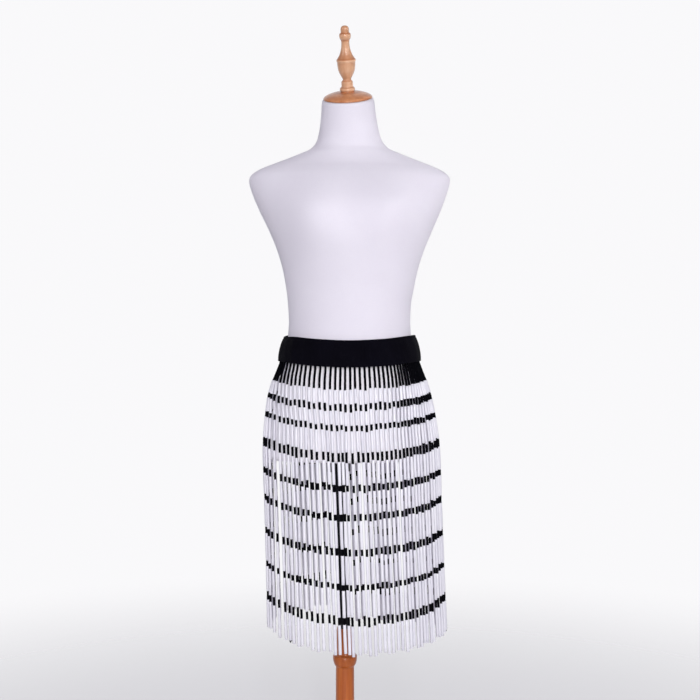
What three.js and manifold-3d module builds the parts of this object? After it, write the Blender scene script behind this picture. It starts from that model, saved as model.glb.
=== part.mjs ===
// A piupiu on a dress form: a black waistband from which black cords, threaded with stiff white tubes, hang all round.
// Millimetres, +Z up. The origin is the centre of the stand's foot, on the floor. The front faces -Y.
import * as THREE from "three";
import { mergeVertices } from "three/addons/utils/BufferGeometryUtils.js";
import Module from "manifold-3d";

// ---------------------------------------------------------------- driving dimensions, mm and degrees
const FORM_X = 8.4; // the form hangs a little to one side of the pole's axis

// Garment
const BAND_TOP = 989; // waistband's upper edge at centre front, above the floor
const BAND_DEEP = 48; // depth of the waistband
const BAND_WALL = 3; // folded cloth, two layers
// The waistband's outer side, by the height above its lower edge: it stands off the waist at the sides and rolls in at the top.
const BAND = [
  { up: 0, wide: 133, deep: 105 },
  { up: 16, wide: 131.4, deep: 101.7 },
  { up: 32, wide: 127.8, deep: 98.3 },
  { up: 48, wide: 122, deep: 95 },
];
const SLUMP = { at: -80, reach: 22, share: 0.07 }; // the waistband is pressed down a little over the left hip
const FLAP = 14; // degrees that the closing end laps over the other at centre back
const FLAP_TUCK = 2.5; // how far the closing end is drawn in, so that it lies on the other end
const TAPE_WALL = 1.2; // heading tape that the cords are sewn to
const TAPE_UP = 22; // its upper edge above the waistband's lower edge
const SEAM = 0.3; // gap between neighbouring pieces

const STRANDS = 84;
const STRANDS_A_PANEL = 7;
const CORD_R = 2.2;
const TUBE_R = 2.75;
const CORD_SHOWS = 41; // bare cord below the waistband
const STRAND_LONG = 498; // below the waistband
const STRAND_TUCK = 12; // cord behind the waistband
const STRAND_SIDES = 5;

// How far the waistband's edge is lifted above its height at centre front, by the angle from there.
// The closing end is fastened about 30 mm higher than the end under it.
const LIFT = [
  { at: -194, lift: 30 },
  { at: -180, lift: 30 },
  { at: -155, lift: 32 },
  { at: -135, lift: 29 },
  { at: -110, lift: 18 },
  { at: -90, lift: 15 },
  { at: -60, lift: 10.6 },
  { at: -30, lift: 3.3 },
  { at: 0, lift: 0 },
  { at: 30, lift: 3.3 },
  { at: 60, lift: 10.6 },
  { at: 90, lift: 15 },
  { at: 120, lift: 10.6 },
  { at: 150, lift: 3.5 },
  { at: 180, lift: 0 },
];

// The strands' centre line, by the distance down the strand: half width and half depth round the form.
const HANG = [
  { down: -STRAND_TUCK, wide: 125.4, deep: 96.6 },
  { down: 3, wide: 127.5, deep: 98.9 },
  { down: CORD_SHOWS, wide: 141.2, deep: 106.5 },
  { down: 71, wide: 149.8, deep: 110.5 },
  { down: 107, wide: 156, deep: 113.5 },
  { down: 157, wide: 161.8, deep: 116.2 },
  { down: 285, wide: 162.2, deep: 116.2 },
  { down: STRAND_LONG, wide: 164.2, deep: 118.2 },
];

// Distance between neighbouring strands at the hips, by the angle from centre front.
const SPACING = [
  { at: -180, gap: 10.9 },
  { at: -100, gap: 12.1 },
  { at: -80, gap: 15.5 },
  { at: -57, gap: 15.8 },
  { at: -48, gap: 9.9 },
  { at: -20, gap: 9.5 },
  { at: 0, gap: 8.75 },
  { at: 20, gap: 8.6 },
  { at: 30, gap: 8 },
  { at: 37, gap: 7.3 },
  { at: 45, gap: 7.5 },
  { at: 55, gap: 9 },
  { at: 66, gap: 10.4 },
  { at: 84, gap: 12 },
  { at: 104, gap: 11.5 },
  { at: 180, gap: 10.9 },
];
const PHASE = 1.1; // degrees that every strand is turned on round the ring

// The strands hang nearly plumb from a ring that is narrower than the hips, so near the waistband each is turned this
// many degrees from where it hangs at the hips, by the angle there.
const FAN = [
  { at: -180, turn: 0 },
  { at: -152, turn: 2.5 },
  { at: -130, turn: 0 },
  { at: -110, turn: -5.6 },
  { at: -90, turn: -11.2 },
  { at: -70, turn: -15 },
  { at: -52, turn: -14.2 },
  { at: -42, turn: -11 },
  { at: -30, turn: -7.5 },
  { at: -20, turn: -5 },
  { at: -9, turn: -2.2 },
  { at: 1.5, turn: -0.3 },
  { at: 10, turn: 1.5 },
  { at: 20, turn: 3.9 },
  { at: 30, turn: 5.9 },
  { at: 40, turn: 7.2 },
  { at: 50, turn: 7.9 },
  { at: 70, turn: 6.5 },
  { at: 90, turn: 1 },
  { at: 110, turn: -5 },
  { at: 135, turn: -7.7 },
  { at: 160, turn: -5 },
  { at: 180, turn: 0 },
];
// The share of that turn that is left on the way down.
const FAN_SHARE = [
  { down: -STRAND_TUCK, share: 1.15 },
  { down: 3, share: 1.1 },
  { down: 20, share: 1 },
  { down: CORD_SHOWS, share: 0.76 },
  { down: 71, share: 0.45 },
  { down: 107, share: 0.13 },
  { down: 157, share: 0 },
  { down: STRAND_LONG, share: -0.05 },
];
const LEAN = { start: 60, rate: 0.0374, less: 0.14 }; // the strands lean towards +X as the rod does, a little less at the sides

// Form, from the bottom up: half width, depth to the front and to the back, and the tilt of the section.
const FORM = [
  { z: 774, x: FORM_X, y: 1, wide: 147, front: 104, back: 104, tilt: 0 },
  { z: 779, x: FORM_X, y: 1, wide: 153, front: 109, back: 109, tilt: 0 },
  { z: 800, x: FORM_X, y: 1, wide: 154, front: 110, back: 110, tilt: 0 },
  { z: 834, x: FORM_X, y: 1, wide: 148.5, front: 107, back: 107, tilt: 0 },
  { z: 870, x: FORM_X, y: 1, wide: 140.5, front: 103, back: 103, tilt: 0 },
  { z: 905, x: FORM_X, y: 0, wide: 131, front: 98, back: 98, tilt: 0 },
  { z: 941, x: FORM_X, y: 0, wide: 121.5, front: 92.5, back: 92, tilt: 0 },
  { z: 970, x: FORM_X, y: 0, wide: 117, front: 89.5, back: 88.5, tilt: 0 },
  { z: 1004, x: FORM_X, y: 0, wide: 114, front: 87.5, back: 86, tilt: 0 },
  { z: 1030, x: FORM_X, y: 0, wide: 112.5, front: 87, back: 86, tilt: 0 },
  { z: 1065, x: FORM_X, y: 0, wide: 114.5, front: 90, back: 88, tilt: 0 },
  { z: 1091, x: FORM_X + 1, y: 0, wide: 118.5, front: 94, back: 90, tilt: 0 },
  { z: 1128, x: FORM_X + 1.5, y: 0, wide: 126, front: 101, back: 94, tilt: 0 },
  { z: 1164, x: FORM_X + 2, y: 0, wide: 137.5, front: 108, back: 97, tilt: 0 },
  { z: 1199, x: FORM_X + 2, y: 1, wide: 152, front: 110, back: 98, tilt: 0 },
  { z: 1234, x: FORM_X + 1, y: 2, wide: 168, front: 105, back: 97, tilt: 0 },
  { z: 1266, x: FORM_X, y: 4, wide: 180.5, front: 93, back: 92, tilt: 0 },
  { z: 1290, x: FORM_X, y: 6, wide: 187, front: 80, back: 83, tilt: 0 },
  { z: 1301, x: FORM_X, y: 7, wide: 183, front: 72, back: 77, tilt: 0 },
  { z: 1311, x: FORM_X, y: 9, wide: 169, front: 65, back: 71, tilt: 0 },
  { z: 1321, x: FORM_X, y: 10, wide: 146, front: 60, back: 65, tilt: 1 },
  { z: 1331, x: FORM_X, y: 11, wide: 121, front: 56, back: 60, tilt: 2 },
  { z: 1341, x: FORM_X, y: 12, wide: 97, front: 53, back: 56, tilt: 3 },
  { z: 1351, x: FORM_X, y: 13, wide: 76, front: 51, back: 53, tilt: 5 },
  { z: 1364, x: FORM_X - 0.5, y: 12, wide: 63, front: 50, back: 51, tilt: 8 },
  { z: 1385, x: FORM_X - 1.2, y: 8, wide: 55.5, front: 49, back: 50, tilt: 13 },
  { z: 1412, x: FORM_X - 2, y: 1, wide: 51, front: 48, back: 48.5, tilt: 21 },
  { z: 1436, x: FORM_X - 2.8, y: -6, wide: 48.3, front: 46.8, back: 47, tilt: 27.5 },
  { z: 1440.5, x: FORM_X - 3, y: -7, wide: 46.4, front: 45, back: 45, tilt: 28 },
];
const BUST = { apart: 72, z: 1206, out: 24, spreadX: 40, spreadZ: 44 };

// Turned wood, metal and stand
const CAP_TILT = 28; // forwards
const CAP_LEAN = 3; // to the viewer's left
const CAP_R = 45.3;
const CAP_HIGH = 13.5;
const FINIAL = [
  { up: 0, r: 13.4 },
  { up: 2, r: 14.1 },
  { up: 5.5, r: 13 },
  { up: 7, r: 11.4 },
  { up: 9, r: 10.6 },
  { up: 16, r: 10.5 },
  { up: 18, r: 9.4 },
  { up: 20.2, r: 7.6 },
  { up: 25.7, r: 10.4 },
  { up: 30.4, r: 12.9 },
  { up: 35, r: 14.9 },
  { up: 44.3, r: 16.3 },
  { up: 52, r: 16.9 },
  { up: 53, r: 17.5 },
  { up: 55, r: 17.4 },
  { up: 58, r: 15.1 },
  { up: 62.5, r: 12 },
  { up: 67, r: 10.1 },
  { up: 75.6, r: 7.8 },
  { up: 84, r: 7.3 },
  { up: 88, r: 8.1 },
  { up: 91.5, r: 9.9 },
  { up: 95, r: 10.5 },
  { up: 98.5, r: 9.9 },
  { up: 99.8, r: 7.8 },
  { up: 105.7, r: 7.5 },
  { up: 109, r: 6.3 },
  { up: 111.2, r: 3.6 },
];
const ROD_R = 9.5;
const ROD_LEAN = 1.66; // the rod stands loose in the pole and leans
const ROD_X = -3.2; // its axis where it enters the pole
const ROD_FOOT = 330; // its lower end, above the floor
const SOCKET = { r: 21.5, neckR: 14, deep: 22, neck: 28, bore: 9.8 };
const POLE_TOP = 461;
const BORE_R = 13.2;
const BORE_FOOT = 196;
const POLE = [
  { z: 30.3, r: 24 },
  { z: 44, r: 24 },
  { z: 52, r: 20 },
  { z: 66, r: 18.4 },
  { z: 390, r: 17 },
  { z: 392, r: 19 },
  { z: 399, r: 21.6 },
  { z: 406, r: 22.4 },
  { z: 410, r: 21.6 },
  { z: 412, r: 16.6 },
  { z: 416, r: 15.6 },
  { z: POLE_TOP, r: 15.4 },
];
const FOOT = [
  { z: 0, r: 158 },
  { z: 4, r: 164 },
  { z: 13, r: 165 },
  { z: 18, r: 161 },
  { z: 20, r: 154 },
  { z: 23, r: 151 },
  { z: 25, r: 140 },
  { z: 27, r: 62 },
  { z: 30, r: 38 },
];
const ROUND = 28; // sides of a turned piece

// ---------------------------------------------------------------- geometry helpers
const wasm = await Module();
wasm.setup();
const rad = THREE.MathUtils.degToRad;
const mix = THREE.MathUtils.lerp;
const ease = THREE.MathUtils.smoothstep;

// A column of a table at a value of its key, straight between rows or, with smooth, along a Catmull-Rom curve.
function look(table, key, value, column, smooth = false) {
  let i = 0;
  while (i < table.length - 2 && value > table[i + 1][key]) i += 1;
  const [a, b] = [table[i], table[i + 1]];
  const t = THREE.MathUtils.clamp((value - a[key]) / (b[key] - a[key]), 0, 1);
  if (!smooth) return mix(a[column], b[column], t);
  const before = table[Math.max(i - 1, 0)];
  const after = table[Math.min(i + 2, table.length - 1)];
  const span = b[key] - a[key];
  const slopeA = ((b[column] - before[column]) / (b[key] - before[key])) * span;
  const slopeB = ((after[column] - a[column]) / (after[key] - a[key])) * span;
  const t2 = t * t;
  const t3 = t2 * t;
  return (
    (2 * t3 - 3 * t2 + 1) * a[column] +
    (t3 - 2 * t2 + t) * slopeA +
    (3 * t2 - 2 * t3) * b[column] +
    (t3 - t2) * slopeB
  );
}

// Only positions, shared vertices merged, faces pointing out.
function clean(geometry) {
  const bare = new THREE.BufferGeometry();
  bare.setAttribute("position", geometry.getAttribute("position"));
  bare.setIndex(geometry.getIndex());
  const merged = mergeVertices(bare, 1e-3);
  const p = merged.getAttribute("position");
  const index = merged.getIndex().array;
  const [a, b, c] = [new THREE.Vector3(), new THREE.Vector3(), new THREE.Vector3()];
  const kept = [];
  let volume = 0;
  for (let i = 0; i < index.length; i += 3) {
    const [u, v, w] = [index[i], index[i + 1], index[i + 2]];
    if (u === v || v === w || w === u) continue;
    a.fromBufferAttribute(p, u);
    b.fromBufferAttribute(p, v);
    c.fromBufferAttribute(p, w);
    volume += a.dot(b.cross(c)) / 6;
    kept.push(u, v, w);
  }
  if (volume < 0) for (let i = 0; i < kept.length; i += 3) [kept[i + 1], kept[i + 2]] = [kept[i + 2], kept[i + 1]];
  merged.setIndex(kept);
  merged.computeVertexNormals();
  return merged;
}

// Every vertex of a unit geometry moved to where place(x, y, z) puts it.
function bend(geometry, place) {
  const p = geometry.getAttribute("position");
  for (let i = 0; i < p.count; i += 1) {
    const to = place(p.getX(i), p.getY(i), p.getZ(i));
    p.setXYZ(i, to.x, to.y, to.z);
  }
  return clean(geometry);
}

function solid(geometry) {
  return new wasm.Manifold(
    new wasm.Mesh({
      numProp: 3,
      vertProperties: geometry.getAttribute("position").array,
      triVerts: new Uint32Array(geometry.getIndex().array),
    }),
  );
}

function joined(geometries) {
  const whole = geometries.map(solid).reduce((a, b) => a.add(b));
  const made = whole.getMesh();
  const geometry = new THREE.BufferGeometry();
  geometry.setAttribute("position", new THREE.BufferAttribute(new Float32Array(made.vertProperties), 3));
  geometry.setIndex(new THREE.BufferAttribute(new Uint32Array(made.triVerts), 1));
  geometry.computeVertexNormals();
  return geometry;
}

// A turned piece: a profile of radius and height, revolved about +Z.
function turned(profile) {
  const points = profile.map(({ r, z }) => new THREE.Vector2(r, z));
  return clean(new THREE.LatheGeometry(points, ROUND).rotateX(Math.PI / 2));
}

const group = new THREE.Group();
function piece(name, geometry, { colour, roughness, metalness = 0 }) {
  const mesh = new THREE.Mesh(geometry, new THREE.MeshStandardMaterial({ color: colour, roughness, metalness }));
  mesh.name = name;
  group.add(mesh);
  return mesh;
}

// ---------------------------------------------------------------- the garment's rings
const liftAt = (angle) => look(LIFT, "at", angle, "lift", true);
const tuckAt = (angle) => FLAP_TUCK * ease(-angle, 150, 176);

// A point on the ring of these half sizes, moved out along the ring's normal.
function onRing(angle, wide, deep, out) {
  const [s, c] = [Math.sin(rad(angle)), Math.cos(rad(angle))];
  const normal = new THREE.Vector2(s / wide, -c / deep).normalize();
  return new THREE.Vector2(FORM_X + wide * s + normal.x * out, -deep * c + normal.y * out);
}

// A strip that follows the waistband: from one angle to another, between two heights above the
// waistband's lower edge, with its outer side this far inside the waistband's outer side.
function strip(from, to, low, high, inset, wall, lengthwise, rows) {
  return bend(new THREE.BoxGeometry(1, 1, 1, lengthwise, rows, 1), (x, y, z) => {
    const angle = mix(from, to, x + 0.5);
    const up = mix(low, high, y + 0.5);
    const ring = onRing(
      angle,
      look(BAND, "up", up, "wide"),
      look(BAND, "up", up, "deep"),
      -inset - tuckAt(angle) - wall * (0.5 - z),
    );
    const pressed = 1 - SLUMP.share * Math.exp(-(((angle - SLUMP.at) / SLUMP.reach) ** 2));
    return new THREE.Vector3(ring.x, ring.y, BAND_TOP - BAND_DEEP + up * pressed + liftAt(angle));
  });
}

// ---------------------------------------------------------------- strands
// The ring is walked once, and every strand takes its share of it, so each gets its angle.
const hips = HANG[5];
const STEPS = 3600;
const walked = [0];
for (let i = 0; i < STEPS; i += 1) {
  const angle = -180 + (360 * (i + 0.5)) / STEPS;
  const step = rad(360 / STEPS) * Math.hypot(hips.wide * Math.cos(rad(angle)), hips.deep * Math.sin(rad(angle)));
  walked.push(walked[i] + step / look(SPACING, "at", angle, "gap", true));
}
function angleOf(share) {
  const target = (share / STRANDS) * walked[STEPS];
  let i = 0;
  while (i < STEPS - 1 && walked[i + 1] < target) i += 1;
  return -180 + (360 * (i + (target - walked[i]) / (walked[i + 1] - walked[i]))) / STEPS + PHASE;
}
const fanned = (angle, down) =>
  angle + look(FAN, "at", angle, "turn", true) * look(FAN_SHARE, "down", down, "share", true);

// A strand's centre line. It leans towards +X as it falls, and sways a little.
function strandLine(index) {
  const angle = angleOf(index + 0.5);
  const [s, c] = [Math.sin(rad(angle)), Math.cos(rad(angle))];
  const sway = 0.8 * Math.sin(index * 2.399) + 0.5 * Math.sin(index * 1.03 + 0.7);
  const long = STRAND_LONG + 2.5 * Math.sin(index * 1.7) + 5 * Math.max(0, s) ** 2;
  const at = (down) => {
    const lean = Math.max(0, down - LEAN.start);
    const round = rad(fanned(angle, down));
    const x =
      look(HANG, "down", down, "wide") * Math.sin(round) +
      lean * (LEAN.rate * (1 - LEAN.less * s * s) + 0.0022 * sway * Math.abs(c));
    const y = -look(HANG, "down", down, "deep") * Math.cos(round) + 0.0022 * lean * sway * s;
    return new THREE.Vector2(x + FORM_X + tuckAt(angle) * -s, y + tuckAt(angle) * c);
  };
  const top = BAND_TOP - BAND_DEEP + liftAt(angle) + 3 * s * s;
  const stops = [-STRAND_TUCK, 3, CORD_SHOWS, CORD_SHOWS + 0.8, 107, 165, long];
  const centres = [];
  let z = top + STRAND_TUCK;
  stops.forEach((down, i) => {
    const here = at(down);
    if (i > 0) {
      const along = down - stops[i - 1];
      z -= Math.sqrt(along ** 2 - here.distanceToSquared(at(stops[i - 1])));
    }
    centres.push(new THREE.Vector3(here.x, here.y, z));
  });
  const radii = stops.map((down) => (down > CORD_SHOWS ? TUBE_R : CORD_R));
  return { centres, radii, out: new THREE.Vector3(s, -c, 0) };
}

function strand(index) {
  const { centres, radii, out } = strandLine(index);
  const side = new THREE.Vector3(-out.y, out.x, 0);
  const last = centres.length - 1;
  return bend(new THREE.CylinderGeometry(1, 1, 1, STRAND_SIDES, last), (x, y, z) => {
    const ring = Math.round((0.5 - y) * last);
    return centres[ring]
      .clone()
      .addScaledVector(side, x * radii[ring])
      .addScaledVector(out, z * radii[ring]);
  });
}

// ---------------------------------------------------------------- pieces
const BLACK_CLOTH = { colour: 0x0b0b0d, roughness: 0.9 };
const WHITE_TUBE = { colour: 0xf1f0f2, roughness: 0.42 };
const JERSEY = { colour: 0xe9e6ea, roughness: 0.85 };
const LIGHT_WOOD = { colour: 0xd9a070, roughness: 0.3 };
const POLE_WOOD = { colour: 0xb5683a, roughness: 0.32 };
const DARK_METAL = { colour: 0x17171a, roughness: 0.35, metalness: 0.9 };

piece("waistband", strip(-180 - FLAP, 179.6, 0, BAND_DEEP, 0, BAND_WALL, 84, 3), BLACK_CLOTH);

const behind = BAND_WALL + 2 * SEAM;
for (let panel = 0; panel < STRANDS / STRANDS_A_PANEL; panel += 1) {
  const first = panel * STRANDS_A_PANEL;
  const tape = strip(
    Math.max(fanned(angleOf(first), 0) + 0.15, -179.9),
    Math.min(fanned(angleOf(first + STRANDS_A_PANEL), 0) - 0.15, 179.3),
    2,
    TAPE_UP,
    behind,
    TAPE_WALL,
    STRANDS_A_PANEL - 1,
    1,
  );
  const hung = Array.from({ length: STRANDS_A_PANEL }, (_, i) => strand(first + i));
  piece(`strands_${String(panel + 1).padStart(2, "0")}`, joined([tape, ...hung]), WHITE_TUBE);
}

// The form: a closed skin through the sections, with a bust rising from its front.
const FORM_ROWS = FORM.length - 1;
const torso = bend(new THREE.CylinderGeometry(1, 1, 1, 32, FORM_ROWS), (x, y, z) => {
  const row = FORM[Math.round((y + 0.5) * FORM_ROWS)];
  const depth = z < 0 ? row.front : row.back;
  const tilt = rad(row.tilt);
  const lean = (tilt * CAP_LEAN) / CAP_TILT;
  const point = new THREE.Vector3(
    row.x + x * row.wide,
    row.y + z * depth * Math.cos(tilt),
    row.z + z * depth * Math.sin(tilt) + x * row.wide * Math.sin(lean),
  );
  if (z < 0)
    for (const side of [-1, 1])
      point.y -=
        BUST.out *
        -z *
        Math.exp(
          -(((point.x - row.x - side * BUST.apart) / BUST.spreadX) ** 2) / 2 -
            ((row.z - BUST.z) / BUST.spreadZ) ** 2 / 2,
        );
  return point;
});
piece("torso", torso, JERSEY);

// Dome and finial share one leaning axis.
const neck = new THREE.Group();
neck.position.set(FORM_X - 3.1, -7.4, 1441.2);
neck.rotation.set(rad(CAP_TILT), rad(-CAP_LEAN), 0, "YXZ");
group.add(neck);
const dome = [{ r: 0, z: 0 }, { r: CAP_R - 0.8, z: 0 }, { r: CAP_R, z: 1.4 }];
for (const turn of [20, 40, 58, 70])
  dome.push({ r: CAP_R * Math.cos(rad(turn)) ** 1.1, z: 1.4 + (CAP_HIGH - 1.4) * Math.sin(rad(turn)) ** 1.2 });
dome.push({ r: 13, z: CAP_HIGH }, { r: 0, z: CAP_HIGH });
neck.add(piece("neck_cap", turned(dome), LIGHT_WOOD));
const finial = FINIAL.map(({ up, r }) => ({ r, z: CAP_HIGH + SEAM + up }));
neck.add(
  piece(
    "finial",
    turned([{ r: 0, z: finial[0].z }, ...finial, { r: 0, z: finial.at(-1).z + 0.7 }]),
    LIGHT_WOOD,
  ),
);

// Rod and socket share the rod's leaning axis, which starts where the rod enters the pole.
const drop = new THREE.Group();
drop.position.set(ROD_X, 0, POLE_TOP);
drop.rotation.set(0, rad(-ROD_LEAN), 0);
group.add(drop);
const socketTop = FORM[0].z - POLE_TOP - 1.2;
const socket = [
  { r: SOCKET.bore, z: socketTop },
  { r: SOCKET.bore, z: socketTop - SOCKET.deep - SOCKET.neck },
  { r: SOCKET.neckR, z: socketTop - SOCKET.deep - SOCKET.neck },
  { r: SOCKET.neckR, z: socketTop - SOCKET.deep },
  { r: SOCKET.r, z: socketTop - SOCKET.deep },
  { r: SOCKET.r, z: socketTop },
  { r: SOCKET.bore, z: socketTop },
];
drop.add(piece("rod_socket", turned(socket), DARK_METAL));
const rodLow = ROD_FOOT - POLE_TOP;
drop.add(
  piece(
    "rod",
    turned([
      { r: 0, z: rodLow },
      { r: ROD_R, z: rodLow },
      { r: ROD_R, z: socketTop - 0.5 },
      { r: 0, z: socketTop - 0.5 },
    ]),
    DARK_METAL,
  ),
);

piece(
  "pole",
  turned([
    { r: 0, z: POLE[0].z },
    ...POLE,
    { r: BORE_R, z: POLE_TOP },
    { r: BORE_R, z: BORE_FOOT },
    { r: 0, z: BORE_FOOT },
  ]),
  POLE_WOOD,
);
piece("base", turned([{ r: 0, z: 0 }, ...FOOT, { r: 0, z: FOOT.at(-1).z }]), POLE_WOOD);

export default group;
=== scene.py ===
import math

import bpy
import numpy as np
from mathutils import Matrix, Vector


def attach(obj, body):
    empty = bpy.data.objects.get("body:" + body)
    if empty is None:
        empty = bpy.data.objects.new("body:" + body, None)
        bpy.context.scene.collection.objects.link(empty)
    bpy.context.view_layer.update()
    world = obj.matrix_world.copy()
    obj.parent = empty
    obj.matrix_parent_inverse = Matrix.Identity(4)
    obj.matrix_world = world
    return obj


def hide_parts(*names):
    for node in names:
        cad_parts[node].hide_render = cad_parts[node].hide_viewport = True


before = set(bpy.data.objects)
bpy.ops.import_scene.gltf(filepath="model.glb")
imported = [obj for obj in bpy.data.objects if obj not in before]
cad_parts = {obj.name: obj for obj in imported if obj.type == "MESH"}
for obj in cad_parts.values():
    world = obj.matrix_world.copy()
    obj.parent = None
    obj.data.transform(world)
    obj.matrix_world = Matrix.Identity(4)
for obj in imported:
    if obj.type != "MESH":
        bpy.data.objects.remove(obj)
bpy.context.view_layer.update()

rad = math.radians

# ------------------------------------------------------------------ sizes, in mm as in part.mjs
FORM_X = 8.4
BAND_TOP, BAND_DEEP, BAND_WALL = 989.0, 48.0, 3.0
BAND = dict(up=[0, 16, 32, 48], wide=[133, 131.4, 127.8, 122], deep=[105, 101.7, 98.3, 95])
SLUMP = dict(at=-80.0, reach=22.0, share=0.07)
FLAP, FLAP_TUCK = 14.0, 2.5
TAPE_WALL, TAPE_UP, SEAM = 1.2, 22.0, 0.3
STRANDS, A_PANEL = 84, 7
TUBE_R, TUBE_WALL, CORD_R, BAND_CORD_R = 2.75, 0.45, 2.05, 2.22
PHASE = 1.1  # degrees that every strand is turned on round the ring
STRAND_LONG = 498.0

LIFT = dict(at=[-194, -180, -155, -135, -110, -90, -60, -30, 0, 30, 60, 90, 120, 150, 180],
            lift=[30, 30, 32, 29, 18, 15, 10.6, 3.3, 0, 3.3, 10.6, 15, 10.6, 3.5, 0])
HANG = dict(down=[-12, 3, 41, 71, 107, 157, 285, 498],
            wide=[125.4, 127.5, 141.2, 149.8, 156, 161.8, 162.2, 164.2],
            deep=[96.6, 98.9, 106.5, 110.5, 113.5, 116.2, 116.2, 118.2])
SPACING = dict(at=[-180, -100, -80, -57, -48, -20, 0, 20, 30, 37, 45, 55, 66, 84, 104, 180],
               gap=[10.9, 12.1, 15.5, 15.8, 9.9, 9.5, 8.75, 8.6, 8.0, 7.3, 7.5, 9.0, 10.4, 12, 11.5, 10.9])
# how far round a strand is turned near the waistband from where it hangs at the hips, and by how much of that on the way down
FAN = dict(at=[-180, -152, -130, -110, -90, -70, -52, -42, -30, -20, -9, 1.5, 10, 20, 30, 40, 50, 70, 90, 110, 135, 160, 180],
           turn=[0, 2.5, 0, -5.6, -11.2, -15, -14.2, -11, -7.5, -5, -2.2, -0.3, 1.5, 3.9, 5.9, 7.2, 7.9, 6.5, 1, -5, -7.7, -5, 0])
FAN_SHARE = dict(down=[-12, 3, 20, 41, 71, 107, 157, 498], share=[1.15, 1.1, 1, 0.76, 0.45, 0.13, 0, -0.05])
LEAN = dict(start=60.0, rate=0.0374, less=0.14)  # towards +X, as the rod leans
# places where neighbouring strands have parted: the angle, its reach and how far they have moved, in mm
PARTINGS = [dict(at=-17.5, reach=4, shift=3.0), dict(at=-1.1, reach=2.0, shift=-2.8), dict(at=5, reach=2.5, shift=1.5),
            dict(at=-8.3, reach=1.5, shift=2.4), dict(at=-35, reach=2.4, shift=-1.8)]
# the rows where the cord shows between two tubes, down from the waistband's lower edge
ROWS = [dict(start=65, end=77), dict(start=101.5, end=112), dict(start=149.5, end=165.5),
        dict(start=205, end=216.5), dict(start=254.5, end=267), dict(start=315, end=328),
        dict(start=376, end=386.5), dict(start=432.5, end=447.5)]
CORD_SHOWS = 41.0

FORM = [  # z, x, y, wide, front, back, tilt
    (774, 8.4, 1, 147, 104, 104, 0), (779, 8.4, 1, 153, 109, 109, 0), (800, 8.4, 1, 154, 110, 110, 0),
    (834, 8.4, 1, 148.5, 107, 107, 0), (870, 8.4, 1, 140.5, 103, 103, 0), (905, 8.4, 0, 131, 98, 98, 0),
    (941, 8.4, 0, 121.5, 92.5, 92, 0), (970, 8.4, 0, 117, 89.5, 88.5, 0), (1004, 8.4, 0, 114, 87.5, 86, 0),
    (1030, 8.4, 0, 112.5, 87, 86, 0), (1065, 8.4, 0, 114.5, 90, 88, 0), (1091, 9.4, 0, 118.5, 94, 90, 0),
    (1128, 9.9, 0, 126, 101, 94, 0), (1164, 10.4, 0, 137.5, 108, 97, 0), (1199, 10.4, 1, 152, 110, 98, 0),
    (1234, 9.4, 2, 168, 105, 97, 0), (1266, 8.4, 4, 180.5, 93, 92, 0), (1290, 8.4, 6, 187, 80, 83, 0),
    (1301, 8.4, 7, 183, 72, 77, 0), (1311, 8.4, 9, 169, 65, 71, 0), (1321, 8.4, 10, 146, 60, 65, 1),
    (1331, 8.4, 11, 121, 56, 60, 2), (1341, 8.4, 12, 97, 53, 56, 3), (1351, 8.4, 13, 76, 51, 53, 5),
    (1364, 7.9, 12, 63, 50, 51, 8), (1385, 7.2, 8, 55.5, 49, 50, 13), (1412, 6.4, 1, 51, 48, 48.5, 21),
    (1436, 5.6, -6, 48.3, 46.8, 47, 27.5), (1440.5, 5.4, -7, 46.4, 45, 45, 28)]
BUST = dict(apart=72.0, z=1206.0, out=24.0, spread_x=40.0, spread_z=44.0)
CAP_TILT, CAP_LEAN, CAP_R, CAP_HIGH = 28.0, 3.0, 45.3, 13.5
ROD_R, ROD_LEAN, ROD_X, ROD_FOOT, POLE_TOP = 9.5, 1.66, -3.2, 330.0, 461.0


# ------------------------------------------------------------------ camera: level, at the height of the skirt
PX = 888.0
cam_data = bpy.data.cameras.new("camera")
cam_data.sensor_width = 36.0
cam_data.sensor_fit = "HORIZONTAL"
cam_data.lens = PX / 700.0 * 36.0
cam_data.shift_y = 41.0 / 700.0
cam_data.clip_end = 60
cam = bpy.data.objects.new("camera", cam_data)
cam.location = (0.0093, -1.65, 0.9)
cam.rotation_euler = (rad(90), 0, 0)
bpy.context.scene.collection.objects.link(cam)
bpy.context.scene.camera = cam


# ------------------------------------------------------------------ small maths
def look(table, key, value, column):
    """A column of a table along a Catmull-Rom curve through its rows."""
    keys, vals = table[key], table[column]
    i = 0
    while i < len(keys) - 2 and value > keys[i + 1]:
        i += 1
    t = min(max((value - keys[i]) / (keys[i + 1] - keys[i]), 0.0), 1.0)
    b, n = max(i - 1, 0), min(i + 2, len(keys) - 1)
    span = keys[i + 1] - keys[i]
    m0 = (vals[i + 1] - vals[b]) / (keys[i + 1] - keys[b]) * span
    m1 = (vals[n] - vals[i]) / (keys[n] - keys[i]) * span
    t2, t3 = t * t, t * t * t
    return (2 * t3 - 3 * t2 + 1) * vals[i] + (t3 - 2 * t2 + t) * m0 + (3 * t2 - 2 * t3) * vals[i + 1] + (t3 - t2) * m1


def smoothstep(v, lo, hi):
    t = min(max((v - lo) / (hi - lo), 0.0), 1.0)
    return t * t * (3 - 2 * t)


def lift_at(angle):
    return look(LIFT, "at", angle, "lift")


def tuck_at(angle):
    return FLAP_TUCK * smoothstep(-angle, 150, 176)


def pressed(angle):
    return 1 - SLUMP["share"] * math.exp(-((angle - SLUMP["at"]) / SLUMP["reach"]) ** 2)


def noise(*key):
    """A repeatable number from -1 to 1 for these keys."""
    v = 0.0
    for n, k in enumerate(key):
        v += (k + 1.37) * (12.9898 + 65.233 * n)
    v = math.sin(v) * 43758.5453
    return 2.0 * (v - math.floor(v)) - 1.0


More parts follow.
